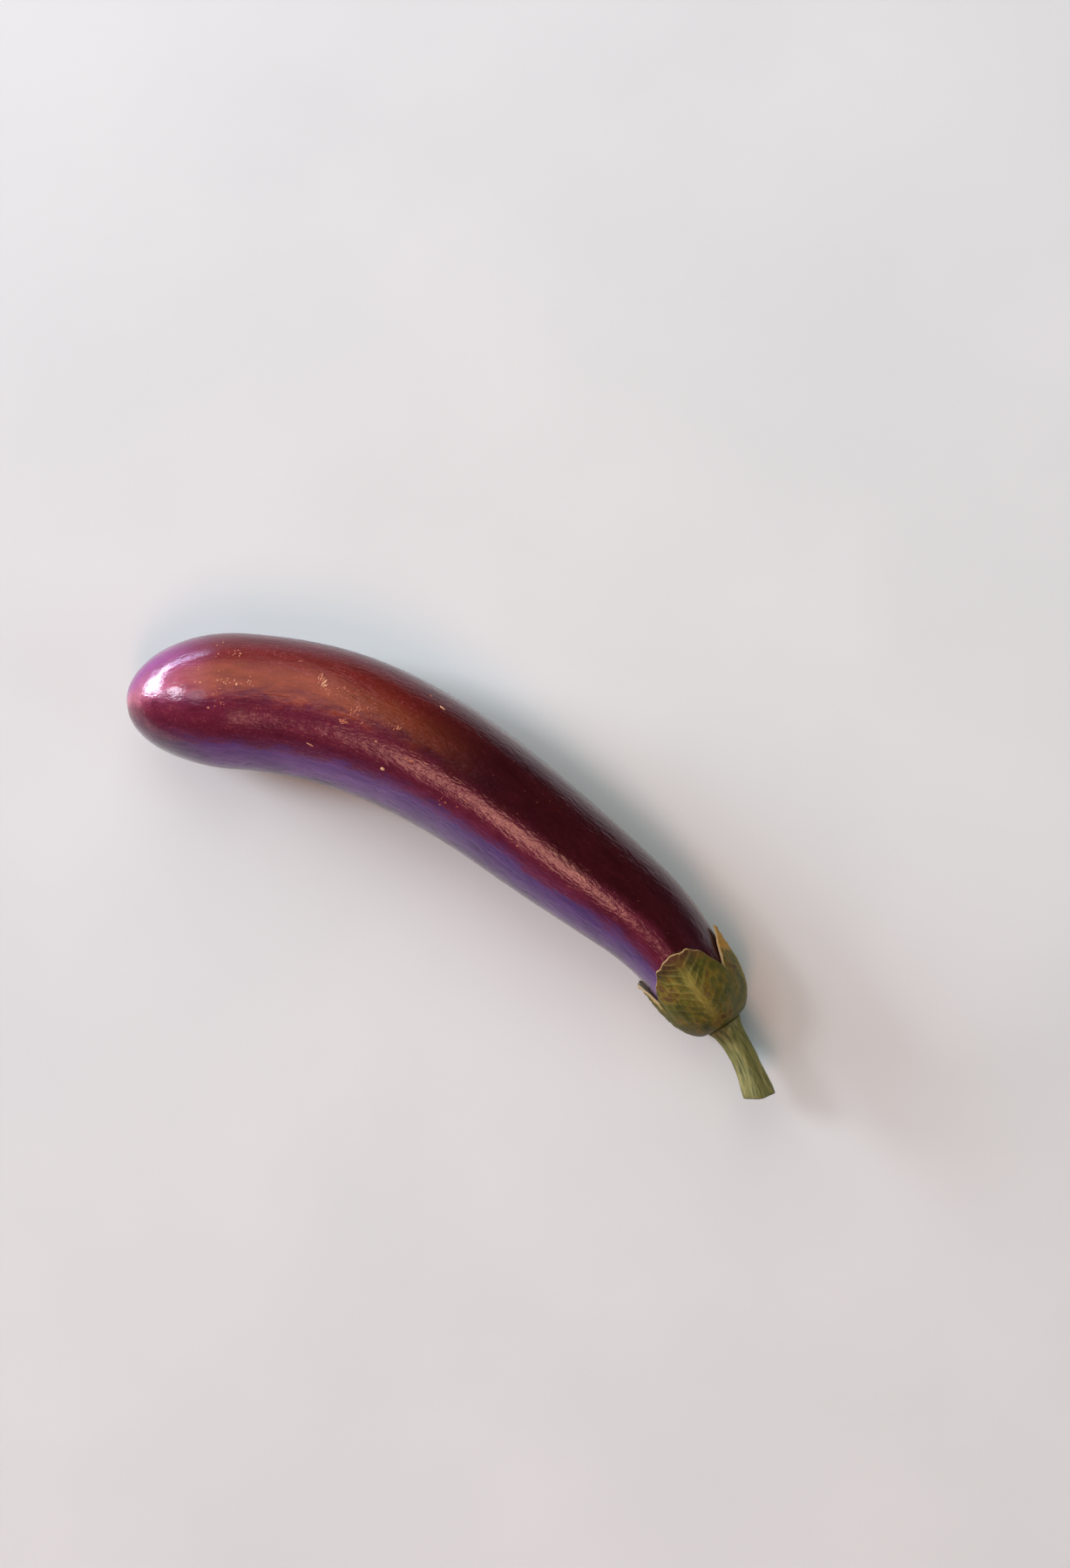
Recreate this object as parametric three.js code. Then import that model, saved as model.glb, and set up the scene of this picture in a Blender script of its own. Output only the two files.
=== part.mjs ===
// A long purple eggplant, as picked, lying on its side on a table.
//
// Millimetres, +Z up. The table is z = 0, and the origin is on it, under the middle of the whole.
// The fruit bends in the plane of the table: its blossom end points to -X, its stem end to +X and -Y.
// A station is a distance along the fruit's bent middle line, from the blossom tip.
// An angle round that line is 0 on top, and a quarter turn on the outer side of the bend.
import * as THREE from "three";

const DEGREE = Math.PI / 180;

// Where the blossom tip lies on the table.
const TIP_X = -113.55;
const TIP_Y = 55.7;

// The middle line: its heading below +X, and how much it turns in the body, the neck and the stem.
const FIRST_HEADING = -10;
const BODY_BEND = { turn: 48, from: -20, over: 176 };
const NECK_BEND = { turn: 18, from: 190, over: 40 };
const STEM_BEND = { turn: 16, from: 248, over: 34 };

// The fruit.
const BELLY_RADIUS = 23.9;
const NECK_RADIUS = 15;
const TAPER = { from: 44, to: 224.5, power: 2.3 };
const BLOSSOM_ROUND = 39.5; // length over which the blossom end rounds off
const SHOULDER_ROUND = 16; // length over which the end under the calyx rounds off
const FRUIT_END = 246;
const SCAR = { radius: 2.3, depth: 0.7 }; // the dimple that the flower left
const RIDGES = { count: 5, height: 0.016, at: -15, drift: 10 }; // soft edges along the fruit
const LUMPS = [
  { height: 0.006, length: 17, turns: 2, phase: 0.8 },
  { height: 0.004, length: 9.5, turns: 1, phase: -1 },
];

// How it lies: two low spots under the fruit, the third under the calyx.
const FLAT_DEPTH = 0.25; // how far each low spot is pressed flat
const LOW_SPOTS = [42, 124];
const ARCH_BETWEEN = 0.5; // how far the fruit arches over the table between its low spots
const HOOD_END_RISE = 1.7; // how far the calyx holds that end of the fruit up

// The calyx: a leathery hood with five lobes.
const GAP = 0.3; // between pieces that touch
const HOOD_THICK = 1.4;
const TIP_THICK = 0.8;
const CROWN_AT = 251; // station of the flat that the stem stands on
const CROWN_RADIUS = 6.6;
const DOME_FROM = 229; // station where the hood starts to close over the fruit's end
const NOTCH_AT = 234; // station of the notches between the lobes
const MIDRIB = { height: 0.45, width: 7 };
const MARGIN_WAVE = { height: 1.6, count: 23 };
// Each lobe runs round the fruit from one angle to another. Its tip is at the angle "peak" and the station
// "tip", and lifts off the fruit. The bottom lobe lies flat between the fruit and the table.
const LOBES = [
  { from: -68, peak: -5, to: 44, tip: 219.5, blunt: 2.5, lift: 0.5 },
  { from: 44, peak: 80, to: 108, tip: 220.5, blunt: 1.9, lift: 0.7 },
  { from: 108, peak: 132, to: 158, tip: 218, blunt: 1.7, lift: 1.6 },
  { from: 158, peak: 188, to: 218, tip: 219, blunt: 1.8, lift: 0 },
  { from: 218, peak: 254, to: 292, tip: 221.5, blunt: 1.9, lift: 1.5 },
];

// The stem.
const STEM_LENGTH = 27;
const STEM_RADIUS = 4.5;
const STEM_FOOT = 6.3;
const STEM_SWELLS = 0.9; // how much wider the cut end is
const STEM_RIBS = { count: 5, height: 0.07 };
const STEM_RISES = 4;
const CUT_SLANT = 1.4; // how far the cut leans over the stem's width
const PITH = { radius: 1.9, depth: 0.6 };

// Runs from 0 to 1 with no kink at either end.
function smooth(x) {
  const t = Math.min(Math.max(x, 0), 1);
  return t * t * (3 - 2 * t);
}

function headingAt(station) {
  let degrees = FIRST_HEADING;
  for (const bend of [BODY_BEND, NECK_BEND, STEM_BEND]) {
    degrees += bend.turn * smooth((station - bend.from) / bend.over);
  }
  return degrees * DEGREE;
}

// The middle line seen from above, summed in short steps.
const LINE_STEP = 0.5;
const LINE_END = CROWN_AT + STEM_LENGTH + 5;
const line = [new THREE.Vector2(TIP_X, TIP_Y)];
for (let s = 0; s < LINE_END; s += LINE_STEP) {
  const heading = headingAt(s + LINE_STEP / 2);
  const step = new THREE.Vector2(Math.cos(heading), -Math.sin(heading)).multiplyScalar(LINE_STEP);
  line.push(step.add(line[line.length - 1]));
}

function lineAt(station) {
  const steps = Math.max(station, 0) / LINE_STEP;
  const i = Math.min(Math.floor(steps), line.length - 2);
  return line[i].clone().lerp(line[i + 1], steps - i);
}

// Half the fruit's girth, before its ends are rounded off.
function girthAt(station) {
  const along = (station - TAPER.from) / (TAPER.to - TAPER.from);
  const t = Math.min(Math.max(along, 0), 1);
  return BELLY_RADIUS - (BELLY_RADIUS - NECK_RADIUS) * t ** TAPER.power;
}

function fruitRadiusAt(station) {
  const blossom = Math.max(1 - station / BLOSSOM_ROUND, 0);
  const shoulder = Math.max((station - FRUIT_END) / SHOULDER_ROUND + 1, 0);
  const rounding = Math.max(1 - blossom * blossom, 0) * Math.max(1 - shoulder * shoulder, 0);
  return girthAt(station) * Math.sqrt(rounding);
}

// Ridges and lumps, as a factor on the radius. They fade out towards the blossom end and under the calyx.
function unevenAt(station, angle) {
  const ridgeAt = (RIDGES.at + RIDGES.drift * smooth((station - 120) / 60)) * DEGREE;
  const fade = smooth(station / 70) * smooth((FRUIT_END - 12 - station) / 30);
  let factor = 1 + RIDGES.height * fade * Math.cos(RIDGES.count * (angle - ridgeAt));
  for (const { height, length, turns, phase } of LUMPS) {
    factor += height * fade * Math.sin(station / length) * Math.cos(turns * angle + phase);
  }
  return factor;
}

// How high the middle line runs over the table.
function heightAt(station) {
  const [first, second] = LOW_SPOTS;
  const arch = ARCH_BETWEEN * Math.sin((Math.PI * (station - first)) / (second - first)) ** 2;
  const rise = station < second ? arch : HOOD_END_RISE * smooth((station - second) / 85);
  const stemRise = STEM_RISES * smooth((station - CROWN_AT) / STEM_LENGTH);
  return girthAt(station) - FLAT_DEPTH + rise + stemRise;
}

// The point at a station, at an angle round the middle line and a distance from it.
// Nothing dips under the table.
function place(station, angle, distance) {
  const middle = lineAt(station);
  const heading = headingAt(station);
  const aside = Math.sin(angle) * distance;
  return new THREE.Vector3(
    middle.x + Math.sin(heading) * aside,
    middle.y + Math.cos(heading) * aside,
    Math.max(heightAt(station) + Math.cos(angle) * distance, 0),
  );
}

// A closed skin over rings of points, which runs to a single point at each end.
function skinOver(startPoint, rings, endPoint) {
  const sides = rings[0].length;
  const points = [startPoint, ...rings.flat(), endPoint];
  const last = points.length - 1;
  const faces = [];
  for (let k = 0; k < sides; k += 1) {
    const next = (k + 1) % sides;
    faces.push(0, 1 + k, 1 + next);
    for (let i = 0; i + 1 < rings.length; i += 1) {
      const near = 1 + i * sides;
      const far = near + sides;
      faces.push(near + k, far + k, far + next, near + k, far + next, near + next);
    }
    faces.push(last - sides + k, last, last - sides + next);
  }
  const geometry = new THREE.BufferGeometry().setFromPoints(points);
  geometry.setIndex(faces);
  geometry.computeVertexNormals();
  return geometry;
}

function steps(count) {
  return Array.from({ length: count }, (_, i) => i);
}

function ringOf(sides, pointAt) {
  return steps(sides).map((k) => pointAt((2 * Math.PI * k) / sides));
}

// Fruit: rings close together at both round ends, and even along the body.
function fruitGeometry() {
  const sides = 44;
  const blossomRings = 15;
  const bodyRings = 35;
  const shoulderRings = 6;
  const stations = [];
  for (let i = 1; i <= blossomRings; i += 1) {
    stations.push(BLOSSOM_ROUND * (1 - Math.cos((Math.PI / 2) * (i / blossomRings) ** 1.35)));
  }
  const bodyEnd = FRUIT_END - SHOULDER_ROUND;
  for (let i = 1; i <= bodyRings; i += 1) {
    stations.push(BLOSSOM_ROUND + ((bodyEnd - BLOSSOM_ROUND) * i) / bodyRings);
  }
  for (let i = 1; i <= shoulderRings; i += 1) {
    stations.push(bodyEnd + SHOULDER_ROUND * Math.sin(((Math.PI / 2) * i) / (shoulderRings + 1)));
  }
  const rings = stations.map((station) => {
    const radius = fruitRadiusAt(station);
    const dimple = SCAR.depth * Math.exp(-((radius / SCAR.radius) ** 2));
    return ringOf(sides, (angle) => place(station + dimple, angle, radius * unevenAt(station, angle)));
  });
  return skinOver(place(SCAR.depth, 0, 0), rings, place(FRUIT_END, 0, 0));
}

// The lobe at an angle, and how far across it the angle is: 0 at its midrib, 1 at its notches.
function lobeAt(angle) {
  let degrees = angle / DEGREE;
  if (degrees > LOBES[LOBES.length - 1].to) degrees -= 360;
  const lobe = LOBES.find(({ from, to }) => degrees >= from && degrees <= to);
  const { from, peak, to } = lobe;
  const off = degrees - peak;
  const across = off < 0 ? off / (from - peak) : off / (to - peak);
  return { lobe, across, off };
}

// The hood's outer radius at a station, where it closes like a dome towards the crown.
function hoodRadiusAt(station, thickness) {
  const open = NECK_RADIUS + GAP + thickness;
  const t = Math.min(Math.max((station - DOME_FROM) / (CROWN_AT - DOME_FROM), 0), 1);
  return CROWN_RADIUS + (open - CROWN_RADIUS) * Math.sqrt(1 - t * t);
}

// The calyx at one angle: its inner points from under the crown to the margin, and its outer ones back again.
function calyxSection(angle) {
  const outerRows = 14;
  const innerRows = 11;
  const { lobe, across, off } = lobeAt(angle);
  const wave = MARGIN_WAVE.height * Math.sin(MARGIN_WAVE.count * angle) * across * (1 - across);
  const margin = lobe.tip + (NOTCH_AT - lobe.tip) * across ** lobe.blunt + wave;
  const inner = [];
  const outer = [];
  const underAt = (station) => {
    const t = smooth((NOTCH_AT - station) / (NOTCH_AT - lobe.tip));
    return fruitRadiusAt(station) * unevenAt(station, angle) + GAP + lobe.lift * t * t;
  };
  for (let i = 0; i < innerRows; i += 1) {
    const station = margin + (FRUIT_END - margin) * (1 - (1 - i / innerRows) ** 1.7);
    const clear = GAP * smooth((station - NOTCH_AT) / 12);
    inner.unshift({ station: station + clear, radius: underAt(station) });
  }
  for (let i = 0; i <= outerRows; i += 1) {
    const station = margin + (CROWN_AT - margin) * (1 - (1 - i / outerRows) ** 1.8);
    const t = Math.min(Math.max((NOTCH_AT - station) / (NOTCH_AT - lobe.tip), 0), 1);
    const fade = smooth((CROWN_AT - station) / 9) * (1 - t);
    const rib = MIDRIB.height * Math.exp(-((off / MIDRIB.width) ** 2)) * fade;
    const thickness = HOOD_THICK + (TIP_THICK - HOOD_THICK) * t;
    const low = underAt(station) + thickness;
    const shell = station < DOME_FROM ? low : Math.max(hoodRadiusAt(station, thickness), low);
    outer.push({ station, radius: shell + rib });
  }
  return [...inner, ...outer].map(({ station, radius }) => place(station, angle, radius));
}

function calyxGeometry() {
  const columns = 90;
  const first = LOBES[0].from * DEGREE;
  const sections = steps(columns).map((k) => calyxSection(first + (2 * Math.PI * k) / columns));
  const rings = sections[0].map((_, row) => sections.map((section) => section[row]));
  return skinOver(place(FRUIT_END + GAP, 0, 0), rings, place(CROWN_AT, 0, 0));
}

// Stem: a flared foot on the calyx, soft ribs, and a slanted cut with its pith sunk in.
function stemRadiusAt(along) {
  const flare = (STEM_FOOT - STEM_RADIUS) * Math.exp(-along / 3.2);
  const swell = STEM_SWELLS * smooth((along - STEM_LENGTH * 0.55) / (STEM_LENGTH * 0.45));
  return STEM_RADIUS + flare + swell;
}

function stemGeometry() {
  const sides = 30;
  const ringCount = 16;
  const foot = CROWN_AT + GAP;
  const stemPoint = (along, angle, share) => {
    const slant = CUT_SLANT * smooth(along / STEM_LENGTH) * Math.cos(angle - 0.6) * share;
    const ribs = 1 + STEM_RIBS.height * Math.cos(STEM_RIBS.count * angle) * share;
    return place(foot + along + slant, angle, stemRadiusAt(along) * ribs * share);
  };
  const rings = steps(ringCount + 1).map((i) => {
    const along = STEM_LENGTH * (i / ringCount) ** 1.25;
    return ringOf(sides, (angle) => stemPoint(along, angle, 1));
  });
  const pithShare = PITH.radius / stemRadiusAt(STEM_LENGTH);
  rings.push(ringOf(sides, (angle) => stemPoint(STEM_LENGTH, angle, pithShare)));
  rings.push(ringOf(sides, (angle) => stemPoint(STEM_LENGTH - PITH.depth, angle, pithShare * 0.7)));
  return skinOver(place(foot, 0, 0), rings, place(foot + STEM_LENGTH - PITH.depth, 0, 0));
}

const skin = new THREE.MeshStandardMaterial({ color: 0x4f1233, roughness: 0.22, metalness: 0 });
const hood = new THREE.MeshStandardMaterial({ color: 0x5c5a2a, roughness: 0.62, metalness: 0 });
const stalk = new THREE.MeshStandardMaterial({ color: 0x6b6a35, roughness: 0.7, metalness: 0 });

function named(name, geometry, material) {
  const mesh = new THREE.Mesh(geometry, material);
  mesh.name = name;
  return mesh;
}

const eggplant = new THREE.Group();
eggplant.add(named("fruit", fruitGeometry(), skin));
eggplant.add(named("calyx", calyxGeometry(), hood));
eggplant.add(named("stem", stemGeometry(), stalk));

export default eggplant;
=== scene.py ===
"""A long purple eggplant, as picked, lying on its side on a pale table, seen from straight above.

Lengths are in millimetres and turned to metres by MM. A station is a distance along the fruit's bent
middle line, from the blossom tip. An angle round that line is 0 on top, and 90 degrees on the outer
side of the bend, which is the photo's upper side.
"""
import math
import random

import bpy
from mathutils import Matrix, Vector, noise


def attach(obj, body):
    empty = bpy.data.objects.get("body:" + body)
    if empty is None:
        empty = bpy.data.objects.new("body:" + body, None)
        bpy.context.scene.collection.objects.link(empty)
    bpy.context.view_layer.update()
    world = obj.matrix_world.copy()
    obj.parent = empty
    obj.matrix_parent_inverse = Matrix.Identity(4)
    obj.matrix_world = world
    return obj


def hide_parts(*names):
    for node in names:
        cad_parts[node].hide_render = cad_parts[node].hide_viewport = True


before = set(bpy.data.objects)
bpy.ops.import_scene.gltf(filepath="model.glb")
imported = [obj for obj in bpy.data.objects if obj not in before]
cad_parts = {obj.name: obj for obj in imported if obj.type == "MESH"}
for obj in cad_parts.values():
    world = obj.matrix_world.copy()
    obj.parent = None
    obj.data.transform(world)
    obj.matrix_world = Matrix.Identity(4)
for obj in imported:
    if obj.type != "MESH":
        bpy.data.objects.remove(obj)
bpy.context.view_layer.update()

MM = 0.001

# The photo's frame, and where the blossom tip is in it.
FRAME_WIDE, FRAME_HIGH = 1228, 1800
PIXELS_PER_MM = 3.275
TIP_PIXEL = (146, 812)

# The form of the eggplant, as in the part's source.
TIP_X, TIP_Y = -113.55, 55.7
FIRST_HEADING = -10
BENDS = ((48, -20, 176), (18, 190, 40), (16, 248, 34))  # turn in degrees, first station, length
BELLY_RADIUS, NECK_RADIUS = 23.9, 15
TAPER_FROM, TAPER_TO, TAPER_POWER = 44, 224.5, 2.3
BLOSSOM_ROUND, SHOULDER_ROUND, FRUIT_END = 39.5, 16, 246
SCAR_RADIUS, SCAR_DEPTH = 2.3, 0.7
RIDGE_COUNT, RIDGE_HEIGHT, RIDGE_AT, RIDGE_DRIFT = 5, 0.016, -15, 10
FLAT_DEPTH, LOW_SPOTS, ARCH_BETWEEN, HOOD_END_RISE = 0.25, (42, 124), 0.5, 1.7
LUMPS = ((0.006, 17, 2, 0.8), (0.004, 9.5, 1, -1))  # height on the radius, length, waves round, phase
GAP = 0.3
HOOD_THICK, TIP_THICK = 1.4, 0.8
CROWN_AT, CROWN_RADIUS, DOME_FROM, NOTCH_AT = 251, 6.6, 229, 234
MIDRIB_HEIGHT, MIDRIB_WIDTH = 0.55, 7  # the width is in degrees
# Each lobe of the calyx: its first, middle and last angle, its tip's station, its bluntness and its lift.
LOBES = (
    (-68, -5, 44, 219.5, 2.5, 0.5),
    (44, 80, 108, 220.5, 1.9, 0.7),
    (108, 132, 158, 218.0, 1.7, 1.6),
    (158, 188, 218, 219.0, 1.8, 0.0),
    (218, 254, 292, 221.5, 1.9, 1.5),
)
STEM_LENGTH, STEM_RADIUS, STEM_FOOT, STEM_SWELLS, STEM_RISES = 27, 4.5, 6.3, 0.9, 4
STEM_FLUTES, FLUTE_HEIGHT, PITH_RADIUS, PITH_DEPTH = 5, 0.07, 1.9, 0.6
CUT_SLANT, CUT_TURN = 1.4, 0.6  # how far the cut leans over the stem's radius, and the way, in radians

# What only the finer pieces have, in millimetres where it is a length.
MARGIN_WAVES, WAVE_HEIGHT, MARGIN_WANDER, RIM_ROUND = 23, 1.6, 0.9, 0.6
VEIN_SPACING, VEIN_HEIGHT, WRINKLE_HEIGHT = 3.1, 0.4, 0.3
BLOSSOM_ROWS, BODY_ROWS, SHOULDER_ROWS, FRUIT_SIDES = 70, 220, 20, 220
STEM_ROWS, STEM_SIDES = 60, 96
HOOD_INNER_ROWS, HOOD_OUTER_ROWS, HOOD_COLUMNS = 34, 64, 360


def smooth(x):
    """Runs from 0 to 1 with no kink at either end."""
    t = min(max(x, 0), 1)
    return t * t * (3 - 2 * t)


def heading_at(station):
    turned = sum(turn * smooth((station - start) / length) for turn, start, length in BENDS)
    return math.radians(FIRST_HEADING + turned)


def middle_line(step=0.25):
    """The middle line from above, summed in short steps, as a function of the station."""
    points = [Vector((TIP_X, TIP_Y))]
    for i in range(int((CROWN_AT + STEM_LENGTH + 6) / step)):
        heading = heading_at((i + 0.5) * step)
        points.append(points[-1] + step * Vector((math.cos(heading), -math.sin(heading))))

    def at(station):
        i, share = divmod(max(station, 0) / step, 1)
        return points[int(i)].lerp(points[int(i) + 1], share)

    return at


line_at = middle_line()


def girth_at(station):
    t = min(max((station - TAPER_FROM) / (TAPER_TO - TAPER_FROM), 0), 1)
    return BELLY_RADIUS - (BELLY_RADIUS - NECK_RADIUS) * t**TAPER_POWER


def fruit_radius_at(station):
    blossom = max(1 - station / BLOSSOM_ROUND, 0)
    shoulder = max((station - FRUIT_END) / SHOULDER_ROUND + 1, 0)
    return girth_at(station) * math.sqrt(max(1 - blossom**2, 0) * max(1 - shoulder**2, 0))


def height_at(station):
    first, second = LOW_SPOTS
    if station < second:
        rise = ARCH_BETWEEN * math.sin(math.pi * (station - first) / (second - first)) ** 2
    else:
        rise = HOOD_END_RISE * smooth((station - second) / 85)
    return girth_at(station) - FLAT_DEPTH + rise + STEM_RISES * smooth((station - CROWN_AT) / STEM_LENGTH)


def uneven_fade_at(station):
    return smooth(station / 70) * smooth((FRUIT_END - 12 - station) / 30)


def ridge_angle_at(station):
    return math.radians(RIDGE_AT + RIDGE_DRIFT * smooth((station - 120) / 60))


def lumps_at(station):
    fade = uneven_fade_at(station)
    return [fade * height * math.sin(station / length) for height, length, *_ in LUMPS]


def uneven_at(station, angle):
    """Ridges and lumps, as a factor on the fruit's radius."""
    ridge = math.cos(RIDGE_COUNT * (angle - ridge_angle_at(station)))
    factor = 1 + RIDGE_HEIGHT * uneven_fade_at(station) * ridge
    for height, (_, _, turns, phase) in zip(lumps_at(station), LUMPS):
        factor += height * math.cos(turns * angle + phase)
    return factor


def place(station, angle, distance):
    """The point at a station, angle and distance from the middle line. Nothing dips under the table."""
    middle, heading = line_at(station), heading_at(station)
    aside = math.sin(angle) * distance
    x, y = middle.x + math.sin(heading) * aside, middle.y + math.cos(heading) * aside
    height = height_at(station) + math.cos(angle) * distance
    return Vector((x, y, max(height, 0))) * MM


# Small helpers for nodes, colours and meshes.


def linear(colour, alpha=1.0):
    """An sRGB hex colour, such as #808080, as linear red, green, blue and alpha."""
    parts = [int(colour[i : i + 2], 16) / 255 for i in (1, 3, 5)]
    return (*[c / 12.92 if c <= 0.04045 else ((c + 0.055) / 1.055) ** 2.4 for c in parts], alpha)


def add(tree, kind, inputs=None, stops=(), **settings):
    """Adds a node, sets its properties, and gives each input a value or a link from a node or socket.

    Stops are the places and hex colours of a colour ramp.
    """
    node = tree.nodes.new(kind)
    for name, value in settings.items():
        setattr(node, name, value)
    for name, value in (inputs or {}).items():
        if isinstance(value, bpy.types.Node):
            value = value.outputs[0]
        if isinstance(value, bpy.types.NodeSocket):
            tree.links.new(value, node.inputs[name])
        else:
            node.inputs[name].default_value = value
    if stops:
        node.color_ramp.interpolation = "EASE"
    for i, (at, colour) in enumerate(stops):
        element = node.color_ramp.elements[i] if i < 2 else node.color_ramp.elements.new(at)
        element.position = at
        element.color = linear(colour)
    return node


def new_material(name):
    material = bpy.data.materials.new(name)
    material.use_nodes = True
    material.node_tree.nodes.clear()
    return material, material.node_tree


def mesh_object(name, points, faces, attributes=None):
    """A mesh object with per-point attributes, given as name to a list of numbers or vectors."""
    mesh = bpy.data.meshes.new(name)
    mesh.from_pydata(points, [], faces)
    for key, values in (attributes or {}).items():
        is_vector = isinstance(values[0], (tuple, Vector))
        layer = mesh.attributes.new(key, "FLOAT_VECTOR" if is_vector else "FLOAT", "POINT")
        for item, value in zip(layer.data, values):
            if is_vector:
                item.vector = value
            else:
                item.value = value
    piece = bpy.data.objects.new(name, mesh)
    bpy.context.scene.collection.objects.link(piece)
    return piece


def skin_over(start, rings, end):
    """Points and faces of a closed skin over rings, which runs to a single point at each end."""
    sides = len(rings[0])
    points = [start, *[p for ring in rings for p in ring], end]
    faces = []
    for k in range(sides):
        after = (k + 1) % sides
        faces.append((0, 1 + k, 1 + after))
        for near in range(1, 1 + (len(rings) - 1) * sides, sides):
            faces.append((near + k, near + sides + k, near + sides + after, near + after))
        base = len(points) - 1 - sides
        faces.append((base + k, len(points) - 1, base + after))
    return points, faces


# Geometry Nodes: a skin wrapped round a rail, for the fruit and the stem.


def node_tree_with(name, sockets):
    """A geometry node tree whose inputs are named, with the identifiers that set them on a modifier."""
    tree = bpy.data.node_groups.new(name, "GeometryNodeTree")
    tree.interface.new_socket("Geometry", in_out="INPUT", socket_type="NodeSocketGeometry")
    tree.interface.new_socket("Geometry", in_out="OUTPUT", socket_type="NodeSocketGeometry")
    for label, kind in sockets.items():
        tree.interface.new_socket(label, in_out="INPUT", socket_type=kind)
    return tree, tree.nodes.new("NodeGroupInput"), tree.nodes.new("NodeGroupOutput")


def baked(piece, tree, values):
    """Runs the tree on the piece with the given inputs, and makes the result a plain mesh."""
    modifier = piece.modifiers.new(tree.name, "NODES")
    modifier.node_group = tree
    for item in tree.interface.items_tree:
        if item.item_type == "SOCKET" and item.in_out == "INPUT" and item.name in values:
            modifier[item.identifier] = values[item.name]
    depsgraph = bpy.context.evaluated_depsgraph_get()
    mesh = bpy.data.meshes.new_from_object(piece.evaluated_get(depsgraph), depsgraph=depsgraph)
    piece.modifiers.remove(modifier)
    piece.data = mesh
    return piece


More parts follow.
